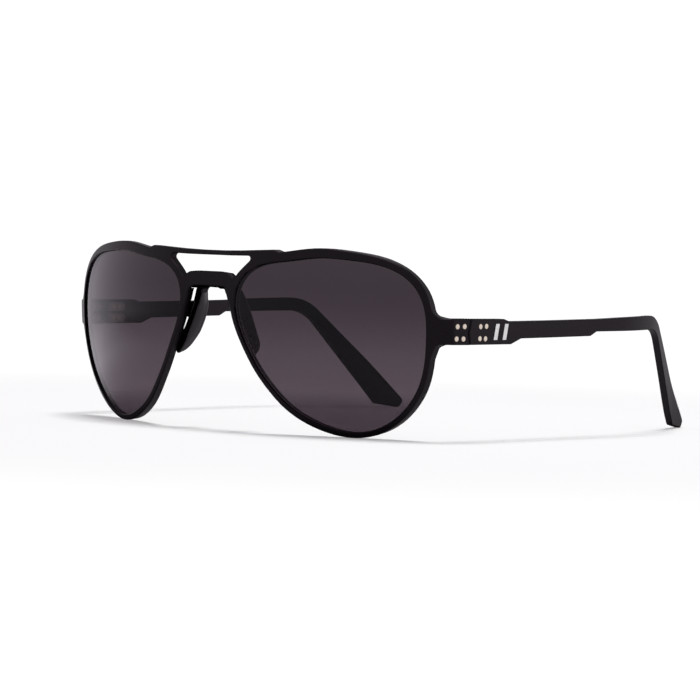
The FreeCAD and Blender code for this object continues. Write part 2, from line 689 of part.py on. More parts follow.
def add_knuckles(plate, web, hinge_z, first):
    """Fuse every second knuckle, from number first upward, and its web to the plate."""
    height = (LEAF_H - (KNUCKLES - 1) * KNUCKLE_GAP) / KNUCKLES
    parts = []
    for i in range(first, KNUCKLES, 2):
        z = hinge_z - LEAF_H / 2 + i * (height + KNUCKLE_GAP)
        parts.append(Part.makeCylinder(BARREL_R, height, V(HINGE_X, HINGE_Y, z)))
        parts.append(polygon_prism(web, xy, V(0, 0, z), V(0, 0, height)))
    return plate.fuse(parts)


def screw_bore(hinge_z):
    start = V(HINGE_X, HINGE_Y, hinge_z - SCREW_BORE_L / 2)
    return Part.makeCylinder(SCREW_BORE_R, SCREW_BORE_L, start)


def leaf_rivets(rivets, hinge_z):
    """The rivets that go through the leaf at this height."""
    return [(y, z) for y, z in rivets if abs(z - hinge_z) < 1]


def front_leaf(hinge_z):
    point = leaf_point(end_x, END_NORMAL, END_T)
    plate = leaf_plate(point, FRONT_LEAF_Y, hinge_z)
    rear_y = FRONT_LEAF_Y[1]
    web = [(HINGE_X + BARREL_R, HINGE_Y), point(rear_y - 0.5, WEB_INSET),
           point(rear_y - 1.0, LEAF_T - WEB_INSET),
           (HINGE_X - WEB_BARREL_X, HINGE_Y - WEB_BARREL_Y), (HINGE_X, HINGE_Y)]
    leaf = add_knuckles(plate, web, hinge_z, first=1)
    cuts = [screw_bore(hinge_z)]
    for centre in head_centres(end_x, leaf_rivets(FRONT_RIVETS, hinge_z)):
        cuts.append(Part.makeCylinder(RIVET_HOLE_R, LEAF_HOLE_L, centre, -END_NORMAL))
        # room for the formed inner head beside the knuckle webs
        seat = centre - END_NORMAL * (END_T + LEAF_GAP + LEAF_T)
        cuts.append(Part.makeCylinder(RIVET_TAIL_R + RIVET_TAIL_CLEARANCE, 3, seat, -END_NORMAL))
    return one_solid(leaf.cut(cuts))


def temple_leaf(hinge_z):
    point = leaf_point(temple_x, TEMPLE_NORMAL, TEMPLE_T0)
    plate = leaf_plate(point, TEMPLE_LEAF_Y, hinge_z)
    front_y, rear_y = TEMPLE_LEAF_Y
    # rounded free end
    end_r = LEAF_H / 2
    keep = Part.makeCylinder(end_r, 10, V(60, rear_y - end_r, hinge_z), V(1, 0, 0))
    keep = keep.fuse(Part.makeBox(10, rear_y - end_r - 20, LEAF_H + 1,
                                  V(60, 20, hinge_z - LEAF_H / 2 - 0.5)))
    plate = plate.common(keep)
    web = [(HINGE_X + BARREL_R, HINGE_Y), (HINGE_X, HINGE_Y),
           (HINGE_X - WEB_BARREL_X, HINGE_Y + WEB_BARREL_Y),
           point(front_y + 0.6, LEAF_T - WEB_INSET), point(front_y + 0.4, WEB_INSET)]
    leaf = add_knuckles(plate, web, hinge_z, first=0)
    cuts = [screw_bore(hinge_z)]
    for centre in head_centres(temple_x, leaf_rivets(TEMPLE_RIVETS, hinge_z)):
        cuts.append(Part.makeCylinder(RIVET_HOLE_R, LEAF_HOLE_L, centre, -TEMPLE_NORMAL))
    return one_solid(leaf.cut(cuts))


def hinge_screw(hinge_z):
    """Slotted screw, head up."""
    shank_start = V(HINGE_X, HINGE_Y, hinge_z - LEAF_H / 2)
    shank = Part.makeCylinder(SCREW_R, LEAF_H + SCREW_END_GAP, shank_start)
    head_z = hinge_z + LEAF_H / 2 + SCREW_END_GAP
    top_z = head_z + SCREW_HEAD_T
    head = Part.makeCylinder(SCREW_HEAD_R, SCREW_HEAD_T, V(HINGE_X, HINGE_Y, head_z))
    head = chamfer_end(head, V(HINGE_X, HINGE_Y, top_z), SCREW_HEAD_CHAMFER)
    slot_start = V(HINGE_X - SCREW_SLOT_L / 2, HINGE_Y - SCREW_SLOT_W / 2, top_z - SCREW_SLOT_D)
    slot = Part.makeBox(SCREW_SLOT_L, SCREW_SLOT_W, SCREW_SLOT_D + 1, slot_start)
    slot.rotate(V(HINGE_X, HINGE_Y, 0), V(0, 0, 1), SCREW_SLOT_DEG)
    return one_solid(head.fuse(shank).cut(slot))


# ---------------------------------------------------------------- assembly
def build():
    """All the pieces by name, in the working frame."""
    marks = mark_bars()
    pairs = {
        "lens": build_lens(),
        "temple": build_temple(marks),
        "temple_mark": Part.makeCompound(marks),
        "front_rivets": rivet_group(FRONT_RIVETS, end_x, END_NORMAL, END_T),
        "temple_rivets": rivet_group(TEMPLE_RIVETS, temple_x, TEMPLE_NORMAL, TEMPLE_T0),
    }
    for level, hinge_z in HINGE_Z.items():
        pairs[f"front_hinge_leaf_{level}"] = front_leaf(hinge_z)
        pairs[f"temple_hinge_leaf_{level}"] = temple_leaf(hinge_z)
        pairs[f"hinge_screw_{level}"] = hinge_screw(hinge_z)

    nodes = {"front_frame": build_front(), "nose_piece": build_nose()}
    for name, shape in pairs.items():
        nodes[f"{name}_left"] = shape
        nodes[f"{name}_right"] = mirror_x(shape)
    return nodes


def main():
    nodes = build()
    box = FreeCAD.BoundBox()
    for shape in nodes.values():
        box.add(shape.optimalBoundingBox(False))
    shift = V(0, -(box.YMin + box.YMax) / 2, -box.ZMin)
    os.makedirs("parts", exist_ok=True)
    for name, shape in nodes.items():
        shape.translate(shift)
        shape.exportStep(f"parts/{name}.step")


main()
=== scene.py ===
# A pair of dark glasses standing open on a pale floor: aluminium front and temples, smoke
# lenses and a rubber nose piece. x runs across, the front faces -y, the temples run back
# towards +y, and z is up. The temples, lenses and hinges keep their CAD meshes; the front
# is reshaped from its CAD mesh and the nose piece is built here.
import math

import bpy
import numpy as np
from mathutils import Matrix, Vector


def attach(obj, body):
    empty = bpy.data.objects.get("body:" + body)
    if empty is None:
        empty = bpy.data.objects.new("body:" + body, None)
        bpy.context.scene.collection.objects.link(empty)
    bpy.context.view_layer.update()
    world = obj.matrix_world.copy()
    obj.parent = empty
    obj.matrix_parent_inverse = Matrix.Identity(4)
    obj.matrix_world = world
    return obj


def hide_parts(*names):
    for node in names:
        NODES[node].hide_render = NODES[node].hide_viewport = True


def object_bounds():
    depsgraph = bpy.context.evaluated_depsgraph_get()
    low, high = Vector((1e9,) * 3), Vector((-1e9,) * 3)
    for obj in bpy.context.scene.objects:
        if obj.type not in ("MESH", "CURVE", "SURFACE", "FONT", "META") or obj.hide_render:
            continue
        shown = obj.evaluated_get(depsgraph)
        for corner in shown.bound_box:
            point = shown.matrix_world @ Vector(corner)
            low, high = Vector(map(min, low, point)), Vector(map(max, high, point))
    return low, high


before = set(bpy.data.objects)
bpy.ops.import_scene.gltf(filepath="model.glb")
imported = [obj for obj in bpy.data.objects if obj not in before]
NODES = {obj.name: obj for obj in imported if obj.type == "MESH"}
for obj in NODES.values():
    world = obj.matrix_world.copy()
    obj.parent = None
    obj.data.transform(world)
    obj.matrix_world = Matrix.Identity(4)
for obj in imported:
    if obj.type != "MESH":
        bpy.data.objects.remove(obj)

cad_lo, cad_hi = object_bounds()
cad_lo, cad_hi = list(cad_lo), list(cad_hi)
scene = bpy.context.scene

# Tables and shape dimensions are millimetres in the "row frame", whose y starts at the
# foremost point of the front. Shaders, lights and the camera use metres in the model frame.
MM = 0.001
SHIFT_Y, SHIFT_Z = -75.4616, 0.0317  # row frame to model frame, mm

# The front's outer surface: a sphere of this radius on each side, joined by a cylinder
# between the two centres, which lie at x = -CURVE_X and x = +CURVE_X.
CURVE_R, CURVE_X, CURVE_Z = 83.6, 11.75, 34.65

CAMERA_YAW = math.radians(39.69)


def row_point(x, y, z):
    """A point of the row frame (mm) in the model frame (m)."""
    return (x * MM, (y + SHIFT_Y) * MM, (z + SHIFT_Z) * MM)


def smooth01(x):
    x = np.clip(x, 0.0, 1.0)
    return x * x * (3 - 2 * x)


# ---------------------------------------------------------------- shader node helpers
class Tree:
    """Adds shader nodes; every value may be a number, a tuple or another node's output."""

    def __init__(self, tree):
        self.tree = tree
        tree.nodes.clear()

    def node(self, kind, inputs=None, **settings):
        n = self.tree.nodes.new("ShaderNode" + kind)
        count = len(self.tree.nodes) - 1
        n.location = (count * 180 - 1500, (count % 5) * -160)
        for key, value in settings.items():
            setattr(n, key, value)
        for key, value in (inputs or {}).items():
            if hasattr(value, "is_output"):
                self.tree.links.new(value, n.inputs[key])
            else:
                n.inputs[key].default_value = value
        return n

    def first(self, kind, inputs=None, **settings):
        """The first output of a new node."""
        return self.node(kind, inputs, **settings).outputs[0]

    def math(self, op, *values, clamp=False):
        return self.first("Math", dict(enumerate(values)), operation=op, use_clamp=clamp)

    def times(self, value, by, clamp=False):
        return self.math("MULTIPLY", value, by, clamp=clamp)

    def linear(self, value, gain, offset, clamp=False):
        return self.math("MULTIPLY_ADD", value, gain, offset, clamp=clamp)

    def one_minus(self, value):
        return self.math("SUBTRACT", 1.0, value)

    def vary(self, level, pattern, span, clamp=False):
        """level, moved up and down by half the span as the pattern goes from 0 to 1."""
        if isinstance(level, float):
            low = level - span / 2
        else:
            low = self.math("SUBTRACT", level, span / 2)
        return self.linear(pattern, gain=span, offset=low, clamp=clamp)

    def vmath(self, op, *vectors):
        n = self.node("VectorMath", dict(enumerate(vectors)), operation=op)
        scalar = op in ("DOT_PRODUCT", "LENGTH", "DISTANCE")
        return n.outputs["Value" if scalar else "Vector"]

    def coords(self, kind="Object"):
        return self.node("TexCoord").outputs[kind]

    def split(self, vector):
        return self.node("SeparateXYZ", {0: vector}).outputs

    def join(self, x, y, z):
        return self.first("CombineXYZ", {0: x, 1: y, 2: z})

    def stretch(self, vector, scale):
        return self.first("Mapping", {"Vector": vector, "Scale": scale})

    def noise(self, vector, scale, detail=3.0, rough=0.5):
        inputs = {"Vector": vector, "Scale": scale, "Detail": detail, "Roughness": rough,
                  "Distortion": 0.0}
        return self.first("TexNoise", inputs)

    def ramp(self, value, lo, hi):
        """Smooth step from 0 at lo to 1 at hi."""
        return self.first("MapRange", {0: value, 1: lo, 2: hi, 3: 0.0, 4: 1.0},
                          interpolation_type="SMOOTHSTEP", clamp=True)

    def mix(self, factor, a, b):
        """Mixed colours; sockets 6 and 7 and output 2 are the colour ones."""
        return self.node("Mix", {0: factor, 6: a, 7: b}, data_type="RGBA").outputs[2]

    def mottle(self, pattern, a, b):
        return self.mix(self.ramp(pattern, lo=0.3, hi=0.7), a, b)

    def mix_number(self, factor, a, b):
        return self.first("Mix", {0: factor, 2: a, 3: b}, data_type="FLOAT")

    def mix_shader(self, factor, a, b):
        return self.first("MixShader", {0: factor, 1: a, 2: b})

    def bump(self, height, distance, strength):
        inputs = {"Strength": strength, "Distance": distance, "Height": height}
        return self.first("Bump", inputs)

    def edges(self, radius, hi):
        """1 on convex or concave edges within radius, 0 on flat ground."""
        bevel = self.first("Bevel", {"Radius": radius}, samples=6)
        normal = self.node("NewGeometry").outputs["Normal"]
        gap = self.one_minus(self.vmath("DOT_PRODUCT", bevel, normal))
        return self.ramp(gap, lo=0.01, hi=hi)

    def surface(self, shader):
        self.node("OutputMaterial", {"Surface": shader})


def material(name):
    mat = bpy.data.materials.new(name)
    mat.use_nodes = True
    return mat, Tree(mat.node_tree)


def rgb(r, g=None, b=None):
    """A colour; one number alone makes a grey."""
    g = r if g is None else g
    b = r if b is None else b
    return (r, g, b, 1.0)


def shade(colour, gain):
    return rgb(*[min(1.0, value * gain) for value in colour])


# ---------------------------------------------------------------- materials
def make_aluminium():
    """Matt black anodising: fine grain, faint mottling, edges rubbed a little brighter."""
    base, specular = 0.0050, 0.42
    mat, t = material("black_anodised")
    at = t.coords()
    grain = t.noise(at, scale=7000.0, detail=2.0, rough=0.6)
    pores = t.noise(at, scale=2300.0, detail=4.0, rough=0.65)
    cloud = t.noise(at, scale=130.0, rough=0.55)
    drift = t.noise(at, scale=28.0, detail=2.0)
    edge = t.edges(radius=0.00022, hi=0.16)
    patchy = t.ramp(t.noise(at, scale=420.0, rough=0.6), lo=0.38, hi=0.66)
    rub = t.times(edge, by=t.linear(patchy, gain=0.55, offset=0.45), clamp=True)

    colour = t.mottle(cloud, rgb(base * 0.86, base * 0.84, base * 0.88),
                      rgb(base * 1.16, base * 1.13, base * 1.15))
    fleck = t.ramp(pores, lo=0.60, hi=0.74)
    colour = t.mix(t.times(fleck, by=0.18), colour, rgb(base * 1.9, base * 1.85, base * 1.9))
    colour = t.mix(t.times(rub, by=0.07), colour, rgb(0.052, 0.050, 0.051))

    rough = t.vary(0.37, cloud, span=0.07)
    rough = t.vary(rough, drift, span=0.05)
    rough = t.vary(rough, grain, span=0.06)
    rough = t.math("SUBTRACT", rough, t.times(rub, by=0.05), clamp=True)
    height = t.linear(grain, gain=0.6, offset=t.times(pores, by=0.8))

    # painted shade: the walls of the lens openings are painted near black and lose their
    # gloss, standing in for the shadow in the narrow gap between lip and lens
    gap = t.node("Attribute", attribute_name="wall_shade").outputs["Fac"]
    unshaded = t.one_minus(t.times(gap, by=0.9))
    t.surface(t.first("BsdfPrincipled", {
        "Base Color": t.mix(unshaded, rgb(0.0008), colour),
        "Roughness": rough,
        "Specular IOR Level": t.times(unshaded, by=specular),
        "Specular Tint": rgb(1.0, 0.83, 0.97),
        "Normal": t.bump(height, distance=0.000010, strength=0.22),
    }))
    return mat


def make_lens():
    """Tinted lens: light passes with absorption, the surface reflects by angle."""
    mat, t = material("smoke_lens")
    at = t.coords()
    geometry = t.node("NewGeometry").outputs
    backfacing = geometry["Backfacing"]
    wave = t.noise(at, scale=55.0, detail=2.0)
    dust = t.ramp(t.noise(at, scale=5200.0, detail=2.0), lo=0.70, hi=0.80)
    streaks = t.noise(t.stretch(at, scale=(1.0, 1.0, 2.6)), scale=60.0, detail=4.0, rough=0.62)
    smear = t.ramp(streaks, lo=0.45, hi=0.75)
    normal = t.bump(wave, distance=0.00001, strength=0.25)
    fresnel = t.first("Fresnel", {"IOR": 1.50, "Normal": normal})
    tint = t.mottle(wave, rgb(0.246, 0.212, 0.236), rgb(0.250, 0.216, 0.240))
    clear = t.first("BsdfTransparent", {"Color": tint})
    gloss = t.first("BsdfGlossy", {
        "Color": rgb(0.97, 0.955, 0.98),
        "Roughness": t.linear(smear, gain=0.035, offset=0.012),
        "Normal": normal,
    })
    # the inner face's own reflection is left out, as the absorption hides it
    reflection = t.times(fresnel, by=t.one_minus(backfacing))
    lens = t.mix_shader(reflection, clear, gloss)
    film = t.first("BsdfDiffuse", {"Color": rgb(0.35, 0.34, 0.35)})
    lens = t.mix_shader(t.times(dust, by=0.010), lens, film)

    # painted highlight: the ground edge of the lens, seen only through the lens itself, is
    # made pale and matt, standing in for the lit rim wall behind the lens
    side = t.math("SIGN", t.split(at)[0])
    _, centre_y, centre_z = row_point(CURVE_X, CURVE_R, CURVE_Z)
    centre = t.join(t.times(side, by=CURVE_X * MM), centre_y, centre_z)
    radial = t.vmath("NORMALIZE", t.vmath("SUBTRACT", at, centre))
    facing = t.math("ABSOLUTE", t.vmath("DOT_PRODUCT", radial, geometry["True Normal"]))
    pale = t.mix(t.noise(at, scale=900.0, rough=0.6),
                 rgb(0.50, 0.46, 0.50), rgb(0.72, 0.66, 0.72))
    edge_highlight = t.first("BsdfDiffuse", {"Color": pale})
    on_edge = t.times(t.ramp(facing, lo=0.70, hi=0.45), by=backfacing)
    t.surface(t.mix_shader(on_edge, lens, edge_highlight))
    return mat


def make_rubber():
    """Black rubber: front strip and saddle top painted near black as shade, satin skin face,
    thin rear lip painted paler as a highlight.
    """
    mat, t = material("nose_rubber")
    at = t.coords()
    normal_y = t.split(t.node("NewGeometry").outputs["Normal"])[1]
    # painted shade: faces turned to the front and the top of the saddle are made near black
    # and without gloss, for the shade behind the rims
    facing = t.ramp(t.times(normal_y, by=-1.0), lo=0.62, hi=0.90)
    saddle = t.ramp(t.split(at)[2], lo=0.0379, hi=0.0388)
    front_saddle_shade = t.math("MAXIMUM", facing, saddle)
    grain = t.noise(at, scale=5200.0, rough=0.6)
    cloud = t.noise(at, scale=240.0, rough=0.55)

    colour = t.mottle(cloud, rgb(0.0290, 0.0268, 0.0290), rgb(0.0340, 0.0312, 0.0340))
    # painted highlight: the thin rear lip is made pale grey
    lip = t.node("Attribute", attribute_name="lip").outputs["Fac"]
    colour = t.mix(t.times(lip, by=0.9), colour, rgb(0.42, 0.39, 0.42))
    rough = t.linear(cloud, gain=0.06, offset=0.32)
    height = t.linear(grain, gain=0.5, offset=cloud)
    t.surface(t.first("BsdfPrincipled", {
        "Base Color": t.mix(front_saddle_shade, colour, rgb(0.0007)),
        "Roughness": t.linear(front_saddle_shade, gain=0.25, offset=rough),
        "Specular IOR Level": t.linear(front_saddle_shade, gain=-0.49, offset=0.5),
        "Specular Tint": rgb(1.0, 0.90, 0.97),
        "Normal": t.bump(height, distance=0.000006, strength=0.25),
    }))
    return mat


def make_steel(name, colour, rough, direction):
    """Brushed steel: fine scratches along one axis, slight stains, brighter edges."""
    mat, t = material(name)
    at = t.coords()
    along, across = 60, 2600
    scale = tuple(along if axis == direction else across for axis in "xyz")
    lines = t.noise(t.stretch(at, scale), scale=1.6, detail=4.0, rough=0.7)
    fine = t.noise(at, scale=6000.0, detail=2.0)
    cloud = t.noise(at, scale=520.0, rough=0.6)
    edge = t.edges(radius=0.00008, hi=0.2)

    shown = t.mottle(lines, shade(colour, gain=0.80), shade(colour, gain=1.08))
    stain = t.times(t.ramp(cloud, lo=0.52, hi=0.80), by=0.15)
    shown = t.mix(stain, shown, shade(colour, gain=0.35))
    shown = t.mix(t.times(edge, by=0.4), shown, shade(colour, gain=1.25))
    rough = t.vary(rough, lines, span=0.16)
    height = t.linear(fine, gain=0.3, offset=lines)
    t.surface(t.first("BsdfPrincipled", {
        "Base Color": shown,
        "Roughness": t.vary(rough, cloud, span=0.12, clamp=True),
        "Metallic": 1.0,
        "Normal": t.bump(height, distance=0.000006, strength=0.5),
    }))
    return mat


def make_rivet(name, centres):
    """Turned rivet heads: rings about each centre (row frame y, z), a painted shadow darkening
    the rim and a painted glow lighting the heads.
    """
    colour = (0.97, 0.88, 0.76)
    ring_pitch = 0.000085
    mat, t = material(name)
    _, y, z = t.split(t.coords())
    flat = t.join(0.0, y, z)
    nearest = None
    for centre in centres:
        away = t.vmath("DISTANCE", flat, row_point(0.0, *centre))
        nearest = away if nearest is None else t.math("MINIMUM", nearest, away)
    rings = t.math("SINE", t.times(nearest, by=2 * math.pi / ring_pitch))
    at = t.coords()
    wobble = t.noise(at, scale=2600.0, rough=0.6)
    cloud = t.noise(at, scale=900.0, rough=0.6)
    rim = t.ramp(nearest, lo=0.00058, hi=0.00074)

    shown = t.mottle(cloud, shade(colour, gain=0.90), shade(colour, gain=1.06))
    # painted shadow: the rim of each head darkens, for the shaded seat round it
    shown = t.mix(t.times(rim, by=0.55), shown, shade(colour, gain=0.35))
    height = t.linear(wobble, gain=0.7, offset=t.times(rings, by=0.25))
    t.surface(t.first("BsdfPrincipled", {
        "Base Color": shown,
        "Metallic": 1.0,
        "Roughness": t.linear(wobble, gain=0.16, offset=0.34),
        "Normal": t.bump(height, distance=0.000006, strength=0.5),
        # painted light: the heads glow, less towards the rim
        "Emission Color": t.mix(0.5, shown, rgb(1.0, 0.80, 0.60)),
        "Emission Strength": t.linear(rim, gain=-0.30, offset=0.36),
    }))
    return mat


def make_mark():
    """The white mark on the temples, chipped a little along its edges, with a painted glow
    that brightens it.
    """
    mat, t = material("white_mark")
    at = t.coords()
    grain = t.noise(at, scale=6000.0, rough=0.6)
    cloud = t.noise(at, scale=700.0, rough=0.55)
    chips = t.ramp(t.noise(at, scale=2600.0, rough=0.65), lo=0.66, hi=0.76)
    edge = t.edges(radius=0.00012, hi=0.2)
    colour = t.mottle(cloud, rgb(0.80, 0.80, 0.79), rgb(0.90, 0.90, 0.89))
    colour = t.mix(t.times(t.times(edge, by=chips), by=0.6), colour, rgb(0.16))
    t.surface(t.first("BsdfPrincipled", {
        "Base Color": colour,
        "Roughness": t.linear(grain, gain=0.2, offset=0.42),
        "Normal": t.bump(grain, distance=0.000010, strength=0.4),
        # painted light: the mark glows to look brighter
        "Emission Color": colour,
        "Emission Strength": 0.48,
    }))
    return mat


# rivet centres (y, z)
FRONT_RIVETS = [(23.84, 30.99), (26.40, 31.03), (23.60, 27.72), (26.07, 27.72)]
TEMPLE_RIVETS = [(32.84, 31.00), (35.30, 31.06), (32.63, 27.78), (35.00, 27.74)]

ALUMINIUM = make_aluminium()
LENS = make_lens()
RUBBER = make_rubber()
LEAF = make_steel("hinge_steel", colour=(0.93, 0.89, 0.86), rough=0.32, direction="y")
SCREW = make_steel("screw_steel", colour=(0.34, 0.335, 0.33), rough=0.30, direction="z")
MARK = make_mark()
FRONT_RIVET = make_rivet("front_rivet_steel", FRONT_RIVETS)
TEMPLE_RIVET = make_rivet("temple_rivet_steel", TEMPLE_RIVETS)


def material_for(name):
    """The material of a CAD piece, or None for the nose piece, which is rebuilt below."""
    if name.startswith(("front_frame", "temple_left", "temple_right")):
        return ALUMINIUM
    if name.startswith("lens_"):
        return LENS
    if "hinge_leaf" in name:
        return LEAF
    for prefix, mat in (("hinge_screw", SCREW), ("front_rivets", FRONT_RIVET),
                        ("temple_rivets", TEMPLE_RIVET), ("temple_mark", MARK)):
        if name.startswith(prefix):
            return mat
    return None


for name, obj in NODES.items():
    mat = material_for(name)
    if mat is None:
        continue
    slots = obj.data.materials
    if not slots:
        slots.append(mat)
    for i in range(len(slots)):
        slots[i] = mat


# ---------------------------------------------------------------- front frame
OPENING_X, OPENING_Z = 34.47, 24.73  # centre of the +x lens opening
# Opening radius and rim width about that centre, every 10 degrees from +x towards +z
OPENING_RADII = [27.84, 28.55, 29.53, 30.11, 29.61, 28.01, 26.03, 24.48, 23.62,
                 23.19, 23.06, 23.53, 24.88, 26.73, 28.01, 27.74, 25.90, 23.34,
                 21.09, 19.57, 18.67, 18.15, 17.98, 18.22, 18.78, 19.52, 20.43,
                 21.63, 23.11, 24.59, 25.73, 26.44, 26.87, 27.19, 27.41, 27.55]
RIM_WIDTHS = [1.23, 1.32, 1.46, 1.64, 1.85, 2.07, 2.28, 2.47, 2.61,
              2.70, 2.73, 2.69, 2.60, 2.46, 2.28, 2.07, 1.72, 1.48,
              1.43, 1.42, 1.42, 1.43, 1.46, 1.52, 1.58, 1.63, 1.67,
              1.67, 1.65, 1.60, 1.52, 1.43, 1.34, 1.26, 1.21, 1.19]

DRAFT_LEAN = 0.62  # how far the rear of a wall moves in towards the opening's centre
DRAFT_LIFT = 0.50  # how far it moves out from the curve's centre, that is forward
DRAFT_X = 30.0  # the draft starts beyond this x
DRAFT_DEPTHS = 0.45, 2.6  # depths behind the outer surface that are moved
DRAFT_RUN = 1.9  # depth over which the draft grows to its full amount
END_PIECE_Z = 29.6  # height of the end pieces, which are left as they are
REVEAL_MARGIN, REVEAL_DEPTH = 0.06, 2.3  # what counts as a wall of the lens opening


def around(table, angle):
    """A value of a 10-degree table at an angle in degrees."""
    step = (angle % 360.0) / 10.0
    i, part = int(step) % 36, step - int(step)
    return table[i] * (1 - part) + table[(i + 1) % 36] * part


def fade(value, start, end):
    return smooth01((value - start) / (end - start))


def build_front(source):
    """The CAD front with the outer walls of its rims drafted: they lean in to the back."""
    obj = bpy.data.objects.new("front_drafted", source.data.copy())
    scene.collection.objects.link(obj)
    obj.matrix_world = source.matrix_world.copy()
    to_world = obj.matrix_world
    to_local = to_world.inverted()
    # mark the walls of the lens openings, which the aluminium shader paints near black as
    # shade
    wall_shade = obj.data.attributes.new("wall_shade", "FLOAT", "POINT")
    shallowest, deepest = DRAFT_DEPTHS
    for vertex in obj.data.vertices:
        p = to_world @ vertex.co
        side = 1.0 if p.x > 0 else -1.0
        x, y, z = abs(p.x) / MM, p.y / MM - SHIFT_Y, p.z / MM - SHIFT_Z
        out = Vector((x - CURVE_X, y - CURVE_R, z - CURVE_Z))
        depth = CURVE_R - out.length
        dx, dz = x - OPENING_X, z - OPENING_Z
        angle = math.degrees(math.atan2(dz, dx))
        edge = around(OPENING_RADII, angle)
        width = around(RIM_WIDTHS, angle)
        radius = math.hypot(dx, dz)
        on_wall = radius < edge + REVEAL_MARGIN and depth < REVEAL_DEPTH
        wall_shade.data[vertex.index].value = 1.0 if on_wall else 0.0
        if x < DRAFT_X or depth < shallowest or depth > deepest:
            continue
        # full on the outer part of the rim, fading beyond it
        weight = fade((radius - edge) / width, 0.45, 0.80)
        weight *= 1.0 - fade(radius - edge - width, 0.6, 3.4)
        # only from the bottom of the opening round its outer side, clear of the end piece
        weight *= fade(angle, -94.0, -66.0) * (1.0 - fade(angle, 30.0, 62.0))
        weight *= fade(abs(z - END_PIECE_Z), 3.55, 4.4)
        weight *= min(1.0, (depth - shallowest) / DRAFT_RUN)
        if weight <= 0.0:
            continue
        out.normalize()
        x += (-DRAFT_LEAN * dx / radius + DRAFT_LIFT * out.x) * weight
        z += (-DRAFT_LEAN * dz / radius + DRAFT_LIFT * out.z) * weight
        y += DRAFT_LIFT * out.y * weight
        vertex.co = to_local @ Vector(row_point(side * x, y, z))
    obj.data.update()
    return obj


front = build_front(NODES["front_frame"])
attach(front, "front")
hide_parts("front_frame")


# ---------------------------------------------------------------- nose piece
# Stations down the +x pad:
# z, nose-side front corner x, rim-side front corner x, front y, rear edge x, rear edge y
PAD = [(41.4, 3.00, 6.00, 3.25, 5.10, 5.40),
       (40.6, 3.00, 6.10, 3.10, 5.65, 6.00),
       (39.3, 3.15, 6.30, 2.97, 6.05, 6.60),
       (38.6, 3.55, 6.48, 2.93, 6.25, 6.90),
       (38.0, 3.98, 6.66, 2.90, 6.45, 7.14),
       (37.1, 4.33, 6.86, 2.87, 6.72, 7.62),
       (36.0, 4.75, 7.11, 2.85, 7.05, 8.06),
       (34.0, 5.46, 7.80, 2.85, 7.50, 8.74),
       (32.0, 6.32, 8.58, 2.85, 8.20, 9.16),
       (30.0, 7.10, 9.37, 2.90, 8.93, 9.33),
       (28.0, 8.12, 10.40, 3.00, 9.80, 9.33),
       (26.0, 9.18, 11.62, 3.15, 10.80, 9.20),
       (24.0, 10.18, 12.85, 3.32, 12.00, 8.66),
       (22.4, 11.25, 13.65, 3.48, 12.62, 7.60),
       (21.2, 12.25, 14.08, 3.64, 12.98, 6.05),
       (20.5, 12.90, 14.15, 3.80, 13.60, 4.95),
       (20.3, 13.20, 14.12, 3.95, 13.70, 4.60)]
PAD_TOP, PAD_BOTTOM = PAD[0][0], PAD[-1][0]

# Tabs on each pad, one high and one low: bottom z, top z, reach outwards
TABS = [(30.5, 34.8, 1.05), (21.6, 27.1, 0.95)]

# Arch under the saddle: flat for ARCH_FLAT each side of the middle, then rounded down
ARCH_Z, ARCH_RADIUS, ARCH_FLAT, ARCH_END = 37.27, 1.7, 2.6, 4.3

SADDLE_HALF, SADDLE_ROUND_FROM = 7.2, 6.5  # half length, and where its ends start to round
FILLER_HALF = 8.62


def spline_rows(count):
    """The pad stations resampled evenly down z by Catmull-Rom."""
    a = np.array(PAD, float)
    keys = a[:, 0]
    out = []
    for z in np.linspace(keys[0], keys[-1], count):
        i = int(np.clip(np.searchsorted(-keys, -z) - 1, 0, len(keys) - 2))
        t = (z - keys[i]) / (keys[i + 1] - keys[i])
        p0, p1, p2, p3 = a[max(i - 1, 0)], a[i], a[i + 1], a[min(i + 2, len(a) - 1)]
        step = keys[i + 1] - keys[i]
        m1 = (p2 - p0) / (p2 - p0)[0] * step
        m2 = (p3 - p1) / (p3 - p1)[0] * step
        row = ((2 * t**3 - 3 * t**2 + 1) * p1 + (t**3 - 2 * t**2 + t) * m1
               + (-2 * t**3 + 3 * t**2) * p2 + (t**3 - t**2) * m2)
        row[0] = z
        out.append(row)
    return out


def closed_bspline(points, count):
    """Uniform cubic B-spline round a closed list of control points."""
    p = np.array(points, float)
    n = len(p)
    out = []
    for k in range(count):
        u = k * n / count
        i = int(u)
        t = u - i
        weights = ((1 - t) ** 3 / 6, (3 * t**3 - 6 * t**2 + 4) / 6,
                   (-3 * t**3 + 3 * t**2 + 3 * t + 1) / 6, t**3 / 6)
        out.append(sum(weights[j] * p[(i + j - 1) % n] for j in range(4)))
    return np.array(out)


def at_height(ring, z):
    """A ring of (x, y) laid flat at z."""
    return np.column_stack([ring[:, 0], ring[:, 1], np.full(len(ring), z)])


def at_side(ring, x):
    """A ring of (y, z) stood upright at x."""
    return np.column_stack([np.full(len(ring), x), ring[:, 0], ring[:, 1]])


def tube(sections):
    """Vertices and faces of a tube of equal sections, closed by fans at both ends."""
    n = len(sections[0])
    verts = [tuple(p) for s in sections for p in s]
    faces = []
    for i in range(len(sections) - 1):
        for j in range(n):
            k = (j + 1) % n
            faces.append((i * n + j, i * n + k, (i + 1) * n + k, (i + 1) * n + j))
    for s in (0, len(sections) - 1):
        centre = len(verts)
        verts.append(tuple(np.mean(sections[s], axis=0)))
        for j in range(n):
            face = (s * n + j, s * n + (j + 1) % n, centre)
            faces.append(face if s == 0 else face[::-1])
    return verts, faces


def mesh_object(name, verts, faces):
    mesh = bpy.data.meshes.new(name)
    mesh.from_pydata(verts, [], faces)
    mesh.validate()
    mesh.update()
    obj = bpy.data.objects.new(name, mesh)
    scene.collection.objects.link(obj)
    return obj


